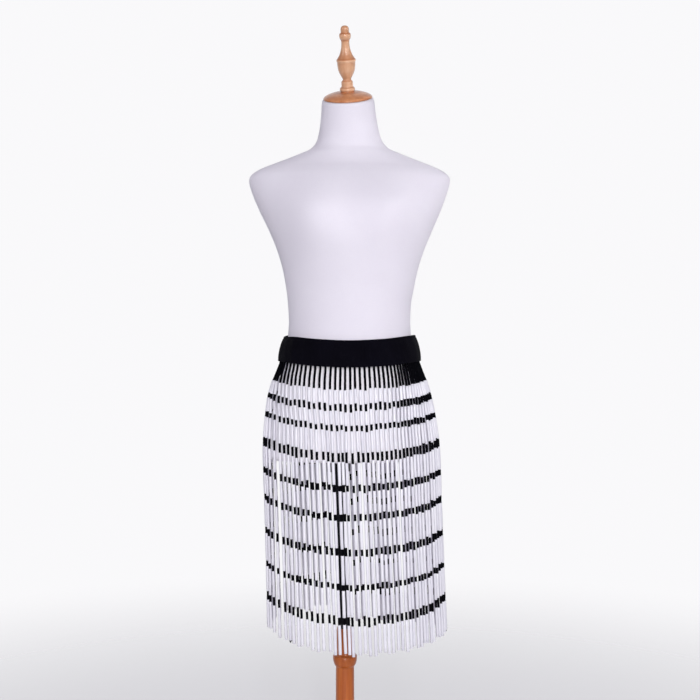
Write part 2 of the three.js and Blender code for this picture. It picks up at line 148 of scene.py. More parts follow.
def smooth_noise(x, seed):
    i = math.floor(x)
    t = x - i
    t = t * t * (3 - 2 * t)
    return noise(i, seed) * (1 - t) + noise(i + 1, seed) * t


# ------------------------------------------------------------------ mesh helper
class Build:
    """Collects grids of points in mm, and makes one mesh in metres."""

    def __init__(self):
        self.v, self.f, self.uv, self.mat, self.n = [], [], [], [], 0
        self.tone = []

    def grid(self, pts, closed_u=True, uv=None, mat=0, flip=False, tone=0.5, closed_v=False):
        """pts is rings x sides x 3. uv is rings x (sides+1) x 2."""
        pts = np.asarray(pts, dtype=float)
        r, s = pts.shape[:2]
        base = self.n
        self.v.append(pts.reshape(-1, 3))
        self.n += r * s
        faces, uvs = [], []
        if uv is None:
            uu = np.linspace(0, 1, s + 1)
            vv = np.linspace(0, 1, r + 1)
            uv = np.stack(np.meshgrid(uu, vv[: r + 1]), -1)
        cols = s if closed_u else s - 1
        rows = r if closed_v else r - 1
        for i in range(rows):
            i2 = (i + 1) % r
            for j in range(cols):
                j2 = (j + 1) % s
                q = [base + i * s + j, base + i * s + j2, base + i2 * s + j2, base + i2 * s + j]
                t = [uv[i][j], uv[i][j + 1], uv[i + 1][j + 1], uv[i + 1][j]]
                if flip:
                    q, t = q[::-1], t[::-1]
                faces.append(q)
                uvs.extend(t)
        self.f.extend(faces)
        self.uv.append(np.asarray(uvs).reshape(-1, 2))
        self.mat.extend([mat] * len(faces))
        self.tone.append(np.full(r * s, tone))
        return base

    def face(self, index, uv=None, mat=0):
        self.f.append(list(index))
        self.uv.append(np.asarray(uv if uv is not None else [[0, 0]] * len(index), dtype=float))
        self.mat.append(mat)

    def make(self, name, materials, smooth=True, matrix=None):
        me = bpy.data.meshes.new(name)
        verts = np.concatenate(self.v) / 1000.0
        me.from_pydata(verts.tolist(), [], self.f)
        layer = me.uv_layers.new(name="uv")
        flat = np.concatenate(self.uv).astype(np.float32)
        layer.data.foreach_set("uv", flat.reshape(-1))
        tone = me.attributes.new("tone", "FLOAT", "POINT")
        tone.data.foreach_set("value", np.concatenate(self.tone).astype(np.float32))
        for m in materials:
            me.materials.append(m)
        me.polygons.foreach_set("material_index", self.mat)
        me.polygons.foreach_set("use_smooth", [smooth] * len(self.f))
        me.update()
        o = bpy.data.objects.new(name, me)
        if matrix is not None:
            o.matrix_world = matrix
        bpy.context.scene.collection.objects.link(o)
        return o


def frame_of(axis, hint=(0, 0, 1)):
    a = Vector(axis).normalized()
    h = Vector(hint)
    if abs(a.dot(h)) > 0.95:
        h = Vector((0, -1, 0))
    u = h.cross(a).normalized()
    return np.array(u), np.array(a.cross(u).normalized()), np.array(a)


def ring_points(centre, u, w, r, sides, turn=0.0):
    t = np.linspace(0, 2 * math.pi, sides, endpoint=False) + turn
    return np.asarray(centre) + r * (np.outer(np.cos(t), u) + np.outer(np.sin(t), w))


# ------------------------------------------------------------------ materials
def material(name):
    m = bpy.data.materials.new(name)
    m.use_nodes = True
    nt = m.node_tree
    nt.nodes.clear()
    out = nt.nodes.new("ShaderNodeOutputMaterial")
    b = nt.nodes.new("ShaderNodeBsdfPrincipled")
    nt.links.new(b.outputs["BSDF"], out.inputs["Surface"])
    return m, nt, b


def node(nt, kind, **kw):
    n = nt.nodes.new(kind)
    for k, v in kw.items():
        if hasattr(n, k):
            setattr(n, k, v)
        else:
            n.inputs[k.replace("_", " ")].default_value = v
    return n


def mathn(nt, op, a, b=None):
    n = nt.nodes.new("ShaderNodeMath")
    n.operation = op
    for i, x in enumerate((a, b)):
        if x is None:
            continue
        if isinstance(x, (int, float)):
            n.inputs[i].default_value = x
        else:
            nt.links.new(x, n.inputs[i])
    return n.outputs[0]


def ramp(nt, fac, stops):
    n = nt.nodes.new("ShaderNodeValToRGB")
    e = n.color_ramp.elements
    while len(e) > len(stops):
        e.remove(e[-1])
    while len(e) < len(stops):
        e.new(0.5)
    for el, (p, c) in zip(e, stops):
        el.position = p
        el.color = (*c, 1) if len(c) == 3 else c
    nt.links.new(fac, n.inputs["Fac"])
    return n.outputs["Color"]


def bump(nt, height, strength, distance, normal=None):
    n = nt.nodes.new("ShaderNodeBump")
    n.inputs["Strength"].default_value = strength
    n.inputs["Distance"].default_value = distance
    nt.links.new(height, n.inputs["Height"])
    if normal is not None:
        nt.links.new(normal, n.inputs["Normal"])
    return n.outputs["Normal"]


def separate(nt, vector):
    n = nt.nodes.new("ShaderNodeSeparateXYZ")
    nt.links.new(vector, n.inputs[0])
    return n.outputs


def noise_tex(nt, vector, scale, detail=3.0, rough=0.5):
    n = nt.nodes.new("ShaderNodeTexNoise")
    n.inputs["Scale"].default_value = scale
    n.inputs["Detail"].default_value = detail
    n.inputs["Roughness"].default_value = rough
    nt.links.new(vector, n.inputs["Vector"])
    return n.outputs["Fac"]


def mapped(nt, vector, scale=(1, 1, 1)):
    n = nt.nodes.new("ShaderNodeMapping")
    n.inputs["Scale"].default_value = scale
    nt.links.new(vector, n.inputs["Vector"])
    return n.outputs["Vector"]


def tube_material():
    """Stiff white plastic tube: satin, drawn along its length, no two tubes quite alike."""
    m, nt, b = material("tube_white_plastic")
    coord = nt.nodes.new("ShaderNodeTexCoord")
    tone = nt.nodes.new("ShaderNodeAttribute")
    tone.attribute_name = "tone"
    cloud = noise_tex(nt, coord.outputs["Object"], 60, 2)
    mixed = mathn(nt, "ADD", mathn(nt, "MULTIPLY", tone.outputs["Fac"], 0.7), mathn(nt, "MULTIPLY", cloud, 0.3))
    # painted shade: the side of a tube that faces the inside of the skirt is painted darker, for the shade inside the
    # skirt
    geometry = nt.nodes.new("ShaderNodeNewGeometry")
    nx, ny, _ = separate(nt, geometry.outputs["Normal"])
    px, py, _ = separate(nt, geometry.outputs["Position"])
    inner_shade = nt.nodes.new("ShaderNodeMapRange")
    inner_shade.inputs["From Min"].default_value, inner_shade.inputs["From Max"].default_value = -0.01, -0.1
    inner_shade.inputs["To Min"].default_value, inner_shade.inputs["To Max"].default_value = 0.0, 0.55
    nt.links.new(mathn(nt, "ADD", mathn(nt, "MULTIPLY", nx, px), mathn(nt, "MULTIPLY", ny, py)), inner_shade.inputs["Value"])
    mixed = mathn(nt, "SUBTRACT", mixed, inner_shade.outputs["Result"])
    colour = ramp(nt, mixed, [(-0.0, (0.60, 0.585, 0.66)), (0.12, (0.66, 0.65, 0.715)), (0.5, (0.775, 0.765, 0.815)), (1.0, (0.87, 0.865, 0.895))])
    nt.links.new(colour, b.inputs["Base Color"])
    b.inputs["Roughness"].default_value = 0.36
    b.inputs["Specular IOR Level"].default_value = 0.45
    b.inputs["Coat Weight"].default_value = 0.12
    b.inputs["Coat Roughness"].default_value = 0.2
    lines = nt.nodes.new("ShaderNodeTexWave")
    lines.bands_direction = "X"
    lines.inputs["Scale"].default_value = 9
    lines.inputs["Distortion"].default_value = 1.5
    nt.links.new(mapped(nt, coord.outputs["UV"], (1, 0.02, 1)), lines.inputs["Vector"])
    dents = noise_tex(nt, coord.outputs["Object"], 220, 2)
    height = mathn(nt, "ADD", mathn(nt, "MULTIPLY", lines.outputs["Fac"], 0.25), mathn(nt, "MULTIPLY", dents, 0.75))
    nt.links.new(bump(nt, height, 0.25, 0.0002), b.inputs["Normal"])
    return m


def cord_material():
    """Matt black braided cord."""
    m, nt, b = material("cord_black_braid")
    coord = nt.nodes.new("ShaderNodeTexCoord")
    x, y, _ = separate(nt, coord.outputs["UV"])
    # v is in mm along the cord: two families of plaits cross each other
    a = mathn(nt, "SINE", mathn(nt, "MULTIPLY", mathn(nt, "ADD", mathn(nt, "MULTIPLY", x, 8.0), mathn(nt, "MULTIPLY", y, 0.55)), 6.2832))
    c = mathn(nt, "SINE", mathn(nt, "MULTIPLY", mathn(nt, "SUBTRACT", mathn(nt, "MULTIPLY", x, 8.0), mathn(nt, "MULTIPLY", y, 0.55)), 6.2832))
    plait = mathn(nt, "MAXIMUM", a, c)
    fuzz = noise_tex(nt, coord.outputs["Object"], 900, 3)
    colour = ramp(nt, mathn(nt, "ADD", mathn(nt, "MULTIPLY", plait, 0.25), mathn(nt, "MULTIPLY", fuzz, 0.6)),
                  [(0.1, (0.0008, 0.0008, 0.0018)), (0.9, (0.0032, 0.0032, 0.006))])
    nt.links.new(colour, b.inputs["Base Color"])
    b.inputs["Roughness"].default_value = 0.85
    b.inputs["Specular IOR Level"].default_value = 0.045
    height = mathn(nt, "ADD", plait, mathn(nt, "MULTIPLY", fuzz, 0.8))
    nt.links.new(bump(nt, height, 0.8, 0.0004), b.inputs["Normal"])
    return m


def band_material():
    """Plain black woven cloth, u and v in metres along and across the waistband."""
    m, nt, b = material("waistband_black_cloth")
    coord = nt.nodes.new("ShaderNodeTexCoord")
    x, y, _ = separate(nt, coord.outputs["UV"])
    warp = mathn(nt, "SINE", mathn(nt, "MULTIPLY", x, 2 * math.pi / 0.0009))
    weft = mathn(nt, "SINE", mathn(nt, "MULTIPLY", y, 2 * math.pi / 0.0007))
    weave = mathn(nt, "MULTIPLY", warp, weft)
    fuzz = noise_tex(nt, coord.outputs["Object"], 1200, 3)
    broad = noise_tex(nt, coord.outputs["Object"], 28, 3)
    fac = mathn(nt, "ADD", mathn(nt, "MULTIPLY", fuzz, 0.45), mathn(nt, "MULTIPLY", broad, 0.55))
    colour = ramp(nt, fac, [(0.3, (0.0010, 0.0008, 0.0024)), (0.75, (0.0030, 0.0026, 0.0062))])
    nt.links.new(colour, b.inputs["Base Color"])
    b.inputs["Roughness"].default_value = 0.88
    b.inputs["Specular IOR Level"].default_value = 0.05
    b.inputs["Sheen Weight"].default_value = 0.01
    b.inputs["Sheen Roughness"].default_value = 0.4
    height = mathn(nt, "ADD", mathn(nt, "MULTIPLY", weave, 0.5), mathn(nt, "MULTIPLY", fuzz, 0.5))
    nt.links.new(bump(nt, height, 0.6, 0.0003), b.inputs["Normal"])
    return m


def jersey_material():
    """White fine-knit jersey, u and v in metres."""
    m, nt, b = material("form_white_jersey")
    coord = nt.nodes.new("ShaderNodeTexCoord")
    x, y, _ = separate(nt, coord.outputs["UV"])
    wale = mathn(nt, "SINE", mathn(nt, "MULTIPLY", x, 2 * math.pi / 0.0011))
    course = mathn(nt, "SINE", mathn(nt, "ADD", mathn(nt, "MULTIPLY", y, 2 * math.pi / 0.0009), mathn(nt, "MULTIPLY", wale, 1.3)))
    knit = mathn(nt, "MULTIPLY", mathn(nt, "ADD", wale, 1.2), mathn(nt, "ADD", course, 1.2))
    fuzz = noise_tex(nt, coord.outputs["Object"], 700, 3)
    broad = noise_tex(nt, coord.outputs["Object"], 9, 3)
    fac = mathn(nt, "ADD", mathn(nt, "MULTIPLY", fuzz, 0.4), mathn(nt, "MULTIPLY", broad, 0.6))
    bust = ramp(nt, fac, [(0.3, (0.69, 0.66, 0.72)), (0.7, (0.74, 0.715, 0.77))])
    hips = ramp(nt, fac, [(0.3, (0.92, 0.90, 0.94)), (0.7, (0.955, 0.94, 0.97))])
    # painted light and shade: the cover is painted much lighter below the waistband, where the cords and the waistband
    # shade it, and darker above, where the front light falls full on it
    _, _, z = separate(nt, coord.outputs["Object"])
    lit_hips_share = nt.nodes.new("ShaderNodeMapRange")
    lit_hips_share.interpolation_type = "SMOOTHSTEP"
    lit_hips_share.inputs["From Min"].default_value = 0.945
    lit_hips_share.inputs["From Max"].default_value = 0.985
    nt.links.new(z, lit_hips_share.inputs["Value"])
    both = nt.nodes.new("ShaderNodeMix")
    both.data_type = "RGBA"
    nt.links.new(lit_hips_share.outputs["Result"], both.inputs[0])
    nt.links.new(hips, both.inputs[6])
    nt.links.new(bust, both.inputs[7])
    nt.links.new(both.outputs[2], b.inputs["Base Color"])
    b.inputs["Roughness"].default_value = 0.9
    b.inputs["Specular IOR Level"].default_value = 0.2
    b.inputs["Sheen Weight"].default_value = 0.12
    b.inputs["Sheen Roughness"].default_value = 0.6
    height = mathn(nt, "ADD", mathn(nt, "MULTIPLY", knit, 0.25), mathn(nt, "MULTIPLY", fuzz, 0.5))
    nt.links.new(bump(nt, height, 0.3, 0.0002), b.inputs["Normal"])
    return m


def wood_material(name, dark, mid, light, coat, streak, groove_shade=None):
    """Turned and varnished wood: soft grain along the piece's own Z, fine pores and the lathe's faint rings.
    The last argument paints shade into the turned grooves: a darkening tint along the piece's own Z, as start, length
    and rows of share and tint."""
    m, nt, b = material(name)
    coord = nt.nodes.new("ShaderNodeTexCoord")
    at = coord.outputs["Object"]
    grain = noise_tex(nt, mapped(nt, at, (1, 1, 0.05)), 130, 5, 0.6)
    broad = noise_tex(nt, mapped(nt, at, (1, 1, 0.22)), 24, 3)
    pores = noise_tex(nt, mapped(nt, at, (1, 1, 0.025)), 1100, 2)
    fac = mathn(nt, "ADD", mathn(nt, "MULTIPLY", grain, streak),
                mathn(nt, "ADD", mathn(nt, "MULTIPLY", pores, 0.14), mathn(nt, "MULTIPLY", broad, 0.86 - streak)))
    colour = ramp(nt, fac, [(0.30, dark), (0.5, mid), (0.68, light)])
    # painted shade: the grooves' tint is multiplied into the wood's colour
    if groove_shade:
        start, length, rows = groove_shade
        share = mathn(nt, "MULTIPLY", mathn(nt, "SUBTRACT", separate(nt, at)[2], start), 1 / length)
        groove_shade_tint = ramp(nt, share, rows)
        mix = nt.nodes.new("ShaderNodeMix")
        mix.data_type, mix.blend_type = "RGBA", "MULTIPLY"
        mix.inputs[0].default_value = 1.0
        nt.links.new(colour, mix.inputs[6])
        nt.links.new(groove_shade_tint, mix.inputs[7])
        colour = mix.outputs[2]
    nt.links.new(colour, b.inputs["Base Color"])
    b.inputs["Roughness"].default_value = 0.36
    b.inputs["Specular IOR Level"].default_value = 0.35
    b.inputs["Coat Weight"].default_value = coat
    b.inputs["Coat Roughness"].default_value = 0.14
    x, y, z = separate(nt, at)
    lathe_lines = mathn(nt, "SINE", mathn(nt, "MULTIPLY", z, 2 * math.pi / 0.0009))
    height = mathn(nt, "ADD", mathn(nt, "MULTIPLY", pores, 0.6), mathn(nt, "MULTIPLY", lathe_lines, 0.12))
    nt.links.new(bump(nt, height, 0.15, 0.0002), b.inputs["Normal"])
    return m


def metal_material():
    m, nt, b = material("rod_black_metal")
    coord = nt.nodes.new("ShaderNodeTexCoord")
    streak = noise_tex(nt, mapped(nt, coord.outputs["Object"], (1, 1, 0.04)), 420, 3)
    colour = ramp(nt, streak, [(0.3, (0.005, 0.005, 0.007)), (0.75, (0.018, 0.018, 0.022))])
    nt.links.new(colour, b.inputs["Base Color"])
    b.inputs["Metallic"].default_value = 0.85
    rough = nt.nodes.new("ShaderNodeMapRange")
    rough.inputs["To Min"].default_value = 0.32
    rough.inputs["To Max"].default_value = 0.5
    nt.links.new(streak, rough.inputs["Value"])
    nt.links.new(rough.outputs["Result"], b.inputs["Roughness"])
    nt.links.new(bump(nt, streak, 0.15, 0.0002), b.inputs["Normal"])
    return m


M_TUBE, M_CORD, M_BAND, M_JERSEY, M_METAL = tube_material(), cord_material(), band_material(), jersey_material(), metal_material()
M_POLE = wood_material("pole_wood_orange", (0.27, 0.05, 0.007), (0.43, 0.105, 0.018), (0.56, 0.165, 0.034), 0.3, 0.46)


# ------------------------------------------------------------------ strands
def ring_rate(wide, deep, angle):
    return math.hypot(wide * math.cos(rad(angle)), deep * math.sin(rad(angle))) * rad(1)


STEPS = 3600
_walk = [0.0]
for _i in range(STEPS):
    _a = -180 + 360 * (_i + 0.5) / STEPS
    _walk.append(_walk[-1] + ring_rate(161.8, 116.2, _a) * (360 / STEPS) / look(SPACING, "at", _a, "gap"))
_walk = np.array(_walk)


def angle_of(share):
    return float(np.interp(share / STRANDS * _walk[-1], _walk, np.linspace(-180, 180, STEPS + 1))) + PHASE


def fanned(angle, down):
    return angle + look(FAN, "at", angle, "turn") * look(FAN_SHARE, "down", min(down, 498), "share")


def hang(down):
    return look(HANG, "down", min(down, 498), "wide"), look(HANG, "down", min(down, 498), "deep")


def strand_xy(i, down, angle):
    """Where a strand's centre line is at this distance down it, at this angle round the ring."""
    base = angle_of(i + 0.5)
    s, c = math.sin(rad(base)), math.cos(rad(base))
    sway = 0.8 * math.sin(i * 2.399) + 0.5 * math.sin(i * 1.03 + 0.7)
    sa, ca = math.sin(rad(angle)), math.cos(rad(angle))
    lean = max(0.0, down - LEAN["start"])
    wide, deep = hang(down)
    x = wide * sa + LEAN["rate"] * lean * (1 - LEAN["less"] * s * s) + sway * 0.0014 * lean * abs(c) + FORM_X - tuck_at(base) * s
    y = -deep * ca + sway * 0.0014 * lean * s + tuck_at(base) * c
    return x, y


def bearing(x, y):
    """Side step for one of depth, seen from straight in front at arm's length."""
    return (x - 9.3) / (1650 + y)


def spread(out, down, low=0, high=STRANDS):
    """Pushes neighbours apart until no two of them touch."""
    wide, deep = hang(down)
    room = 5.75 if down > CORD_SHOWS - 2 else 4.75
    for _ in range(20):
        for i in range(low, high - 1):
            gap = (out[i + 1] - out[i]) * ring_rate(wide, deep, (out[i] + out[i + 1]) / 2)
            if gap < room:
                move = (room - gap) / 2 / ring_rate(wide, deep, out[i])
                out[i] -= move
                out[i + 1] += move
    return out


def strand_angles(row):
    """The angle of every strand at one row: uneven, a little more so lower down, and never closer than the tubes allow."""
    down = NODES[row]
    wide, deep = hang(down)
    amount = 0.35 + 1.15 * smoothstep(down, 30, 500)
    out = []
    for i in range(STRANDS):
        a = angle_of(i + 0.5)
        push = (0.85 * noise(i, 5) + 0.22 * noise(i, row, 9)) * amount
        for p in PARTINGS:
            push += p["shift"] * math.exp(-((a - p["at"]) / p["reach"]) ** 2) * smoothstep(down, 60, 160)
        out.append(fanned(a, down) + push / ring_rate(wide, deep, a))
    spread(out, down)
    if down < CORD_SHOWS:
        return out
    # from the hips down the back strands show in the gaps of the front ones
    front = [i for i in range(STRANDS) if abs(angle_of(i + 0.5)) < 86]
    gaps = []
    for i in front[:-1]:
        gaps.append((bearing(*strand_xy(i, down, out[i])) + bearing(*strand_xy(i + 1, down, out[i + 1]))) / 2)
    ease_in = smoothstep(down, 60, 170)
    for i in range(STRANDS):
        g = MATCH.get(i)
        if i in HIDE:
            # over the left hip the strands hang in line behind each other
            want = bearing(*strand_xy(HIDE[i], down, out[HIDE[i]]))
        elif g is None:
            continue
        else:
            want = gaps[g] + (0.00045 * noise(i, 91) if noise(i, 92) < 0.55 else 0.0016 * noise(i, 93))
        # step the angle until the strand stands where it should
        a = out[i]
        for _ in range(8):
            x, y = strand_xy(i, down, a)
            dx = (want - bearing(x, y)) * (1650 + y)
            a += dx / (wide * rad(1) * math.cos(rad(a)))
        out[i] += min(max(a - out[i], -2.4), 2.4) * ease_in
    order = sorted(range(STRANDS), key=lambda i: out[i])
    assert order == list(range(STRANDS)), "strands crossed"
    return spread(out, down)


# centre of every row where strands may bend, down from the waistband's lower edge
NODES = [-12.0, 3.0, 22.0, CORD_SHOWS - 1.0] + [(r["start"] + r["end"]) / 2 for r in ROWS] + [STRAND_LONG]


def match_gaps():
    """Which gap between two front strands each back strand shows in, from the middle out to both sides."""
    down = 250.0
    front = [i for i in range(STRANDS) if abs(angle_of(i + 0.5)) < 86]
    f = [bearing(*strand_xy(i, down, fanned(angle_of(i + 0.5), down))) for i in front]
    gaps = [(f[k] + f[k + 1]) / 2 for k in range(len(f) - 1)]
    back = [i for i in range(STRANDS) if abs(angle_of(i + 0.5)) > 104]
    at = {i: bearing(*strand_xy(i, down, fanned(angle_of(i + 0.5), down))) for i in back}
    back.sort(key=lambda i: at[i])
    mid = min(range(len(back)), key=lambda k: abs(at[back[k]]))
    first = min(range(len(gaps)), key=lambda k: abs(gaps[k] - at[back[mid]]))
    found = {}
    for way in (1, -1):
        shift = 0
        for n in range(0 if way == 1 else 1, len(back)):
            k = mid + way * n
            if not 0 <= k < len(back):
                break
            g = first + way * (n + shift)
            if not 0 <= g < len(gaps):
                break
            # where the two spacings drift apart by more than half a gap, one gap is passed over
            if way * (at[back[k]] - gaps[g]) > 0.0028:
                shift += 1
                g += way
            if not 0 <= g < len(gaps) or abs(at[back[k]] - gaps[g]) > 0.0036:
                break
            found[back[k]] = g
    return found


def match_left():
    """The back strands over the left hip, each with the front strand that it hangs behind."""
    down = 250.0
    at = [bearing(*strand_xy(i, down, fanned(angle_of(i + 0.5), down))) for i in range(STRANDS)]
    base = [angle_of(i + 0.5) for i in range(STRANDS)]
    back = sorted((i for i in range(STRANDS) if -138 < base[i] < -101), key=lambda i: -at[i])
    front = sorted((i for i in range(STRANDS) if -88 < base[i] < -25), key=lambda i: -at[i])
    found, k = {}, 0
    for i in back:
        while k < len(front) - 1 and abs(at[front[k + 1]] - at[i]) < abs(at[front[k]] - at[i]):
            k += 1
        if k < len(front) and abs(at[front[k]] - at[i]) < 0.0034:
            found[i] = front[k]
            k += 1
        if k >= len(front):
            break
    return found


MATCH, HIDE = match_gaps(), match_left()
ANGLES = [strand_angles(k) for k in range(len(NODES))]


def strand_path(i):
    """Points in mm at NODES of the strand's centre line, as the CAD strand but with its own small bends."""
    base = angle_of(i + 0.5)
    s = math.sin(rad(base))
    behind = math.cos(rad(base)) < -0.1
    # some hang a little lower than others, more so at the back
    low = (4.6 if behind else 1.1) * noise(i, 71) + 0.9 * smooth_noise(i * 0.31, 72)
    long = STRAND_LONG + 2.5 * math.sin(i * 1.7) + 5 * max(0, s) ** 2
    pts, z, prev = [], None, None
    for k, down in enumerate(NODES):
        if k == len(NODES) - 1:
            down = long
        x, y = strand_xy(i, down, ANGLES[k][i])
        puff = 0.35 * noise(i, k, 3) * smoothstep(down, 20, 200)
        a = rad(ANGLES[k][i])
        x, y = x + puff * math.sin(a), y - puff * math.cos(a)
        if z is None:
            z = BAND_TOP - BAND_DEEP + lift_at(base) + 3 * s * s + 12
        else:
            step = down - NODES[k - 1]
            z -= math.sqrt(max(step ** 2 - (x - prev[0]) ** 2 - (y - prev[1]) ** 2, 1.0))
        prev = (x, y)
        # the slack is taken up in the bare cord behind and below the waistband
        pts.append((x, y, z - low * smoothstep(down, -12, CORD_SHOWS - 1)))
    return np.array(pts), long


def along(pts, downs, d):
    k = int(np.clip(np.searchsorted(downs, d) - 1, 0, len(downs) - 2))
    t = (d - downs[k]) / (downs[k + 1] - downs[k])
    return pts[k] + (pts[k + 1] - pts[k]) * t


TUBE_SIDES, CORD_SIDES = 14, 10


def add_tube(b, p0, p1, r, tone, seed):
    """One stiff tube: outer wall, two rims and the first millimetres of its bore, very slightly bowed."""
    u, w, a = frame_of(p1 - p0)
    n = 5
    turn = noise(seed, 2) * 3
    bow = 0.28 * noise(seed, 7)
    bw = 0.28 * noise(seed, 8)
    length = float(np.linalg.norm(p1 - p0))
    prof = [(4.0, r - TUBE_WALL, 1), (0.25, r - TUBE_WALL, 1), (0.0, r - TUBE_WALL + 0.1, 1), (0.0, r - 0.14, 1), (0.16, r, 1)]
    rings, vs = [], []
    for inset, rr, _ in prof:
        rings.append(ring_points(p0 + a * inset, u, w, rr, TUBE_SIDES, turn))
        vs.append(inset)
    for k in range(1, n):
        t = k / n
        arch = math.sin(math.pi * t)
        rings.append(ring_points(p0 + (p1 - p0) * t + u * bow * arch + w * bw * arch, u, w, r * (1 + 0.012 * noise(seed, k, 4)), TUBE_SIDES, turn))
        vs.append(length * t)
    for inset, rr, _ in reversed(prof):
        rings.append(ring_points(p1 - a * inset, u, w, rr, TUBE_SIDES, turn))
        vs.append(length - inset)
    uu = np.linspace(0, 1, TUBE_SIDES + 1)
    uv = [[(x, v) for x in uu] for v in vs]
    b.grid(rings, uv=uv, tone=tone, flip=False)


def add_cord(b, points, r, seed, ends=True, lump=0.05):
    """A cord through points, with its braid's small lumps, closed at both ends."""
    pts = np.asarray(points)
    seg = np.linalg.norm(np.diff(pts, axis=0), axis=1)
    dist = np.concatenate([[0], np.cumsum(seg)])
    n = max(3, int(dist[-1] / 2.3) + 1)
    rings, vs = [], []
    for k in range(n):
        d = dist[-1] * k / (n - 1)
        p = np.array([np.interp(d, dist, pts[:, j]) for j in range(3)])
        q = np.array([np.interp(min(d + 1, dist[-1]), dist, pts[:, j]) for j in range(3)])
        o = np.array([np.interp(max(d - 1, 0), dist, pts[:, j]) for j in range(3)])
        u, w, a = frame_of(q - o)
        p = p + u * 0.16 * noise(seed, k, 1) + w * 0.16 * noise(seed, k, 2)
        rings.append(ring_points(p, u, w, r * (1 + lump * noise(seed, k, 5)), CORD_SIDES))
        vs.append(d)
    if ends:
        for end, at in ((0, 0), (-1, len(rings))):
            c = rings[end].mean(axis=0)
            rings.insert(at if end == 0 else len(rings), c + (rings[end] - c) * 0.02)
            vs.insert(at if end == 0 else len(vs), vs[end])
    uu = np.linspace(0, 1, CORD_SIDES + 1)
    b.grid(rings, uv=[[(x, v) for x in uu] for v in vs], tone=0.5)


def add_knot(b, centre, axis, r, seed):
    """An overhand knot in the cord's end: a lumpy bead with a wrapped turn and a short tail."""
    u, w, a = frame_of(axis)
    rings, rows = [], 9
    for k in range(rows):
        t = -1 + 2 * k / (rows - 1)
        rr = r * math.sqrt(max(1 - t * t, 0.0006))
        th = np.linspace(0, 2 * math.pi, 12, endpoint=False)
        lump = 1 + 0.10 * np.sin(th * 2 + t * 3 + seed)
        rings.append(np.asarray(centre) + a * t * r * 0.95 + (rr * lump)[:, None] * (np.outer(np.cos(th), u) + np.outer(np.sin(th), w)))
    uu = np.linspace(0, 1, 13)
    b.grid(rings, uv=[[(x, k * 0.6) for x in uu] for k in range(rows)], tone=0.5)
    loop = []
    for k in range(15):
        t = k / 14 * 2 * math.pi * 1.05
        tilt = 0.55
        loop.append(np.asarray(centre) + r * 0.98 * (math.cos(t) * u + math.sin(t) * (w * math.cos(tilt) + a * math.sin(tilt))))
    add_cord(b, loop, 0.9, seed + 3, lump=0.03)
    add_cord(b, [np.asarray(centre) + a * r * 0.6, np.asarray(centre) + a * (r + 1.6) + u * 0.6 * noise(seed, 1)], 1.0, seed + 5, lump=0.06)


for panel in range(STRANDS // A_PANEL):
    tubes, cords = Build(), Build()
    for i in range(panel * A_PANEL, (panel + 1) * A_PANEL):
        pts, long = strand_path(i)
        downs = np.array(NODES[:-1] + [long])
        # where each row of bare cord starts and ends on this strand
        drift = 0.8 * smooth_noise(i * 0.37, 21)
        edges = [[-12.0, CORD_SHOWS - 1 + 1.1 * noise(i, 31) + 0.8 * smooth_noise(i * 0.5, 4)]]
        for k, row in enumerate(ROWS):
            mid = (row["start"] + row["end"]) / 2 + drift * (0.4 + 0.12 * k) + 1.0 * noise(i, k, 33)
            half = (row["end"] - row["start"]) / 2 * (1 + 0.2 * noise(i, k, 35))
            edges.append([mid - half, mid + half])
        edges.append([long, long])
        # bare cord from behind the waistband to the first tube, waving a little
        top = [along(pts, downs, d) for d in (-12, -5, 0, 6, 13, 20, 27, 34, edges[0][1], edges[0][1] + 4)]
        add_cord(cords, top, CORD_R, i * 17 + 1, lump=0.06)
        for k in range(len(edges) - 1):
            t0, t1 = edges[k][1], edges[k + 1][0]
            p0, p1 = along(pts, downs, t0), along(pts, downs, t1)
            # the tube is straight: its ends lie on the strand
            add_tube(tubes, p0, p1, TUBE_R * (1 + 0.02 * noise(i, 51)), 0.5 + 0.33 * noise(i, k, 41), i * 31 + k)
            if k + 1 < len(edges) - 1:
                a0, a1 = edges[k + 1]
                chain = [along(pts, downs, a0 - 3.5), along(pts, downs, a0), along(pts, downs, (a0 + a1) / 2), along(pts, downs, a1), along(pts, downs, a1 + 3.5)]
                add_cord(cords, chain, BAND_CORD_R * (1 + 0.03 * noise(i, k, 43)), i * 53 + k)
        # the knot that holds the last tube, mostly drawn up into its end
        a = (pts[-1] - pts[-2]) / np.linalg.norm(pts[-1] - pts[-2])
        peeks = noise(i, 77) > 0.9
        add_knot(cords, pts[-1] + a * (0.6 if peeks else -3.4), a, 2.0, i)
    n = f"{panel + 1:02d}"
    # the heading tape that this panel hangs from, behind the waistband
    lo = max(fanned(angle_of(panel * A_PANEL), 0) + 0.15, -179.9)
    hi = min(fanned(angle_of((panel + 1) * A_PANEL), 0) - 0.15, 179.3)
    loop = []
    for k in range(29):
        a = lo + (hi - lo) * k / 28
        sec = []
        for up, inn in ((2, 0), (12, 0), (22, 0), (22, TAPE_WALL), (12, TAPE_WALL), (2, TAPE_WALL)):
            wide, deep = look(BAND, "up", up, "wide"), look(BAND, "up", up, "deep")
            s, c = math.sin(rad(a)), math.cos(rad(a))
            nx, ny = s / wide, -c / deep
            ln = math.hypot(nx, ny)
            off = -(BAND_WALL + 2 * SEAM) - inn - tuck_at(a)
            sec.append((FORM_X + wide * s + nx / ln * off, -deep * c + ny / ln * off, BAND_TOP - BAND_DEEP + up * pressed(a) + lift_at(a)))
        loop.append(sec)
    loop = np.array(loop)
    base = cords.grid(loop, uv=[[(j / 6, k * 2.5) for j in range(7)] for k in range(29)], tone=0.5, flip=True)
    cords.face([base + j for j in range(6)])
    cords.face([base + 28 * 6 + j for j in range(5, -1, -1)])
    t = tubes.make(f"tubes_{n}", [M_TUBE])
    c = cords.make(f"cords_{n}", [M_CORD])
    for o, slot in ((t, "strand_tube"), (c, "band_cloth")):
        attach(o, "form")
    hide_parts(f"strands_{n}")


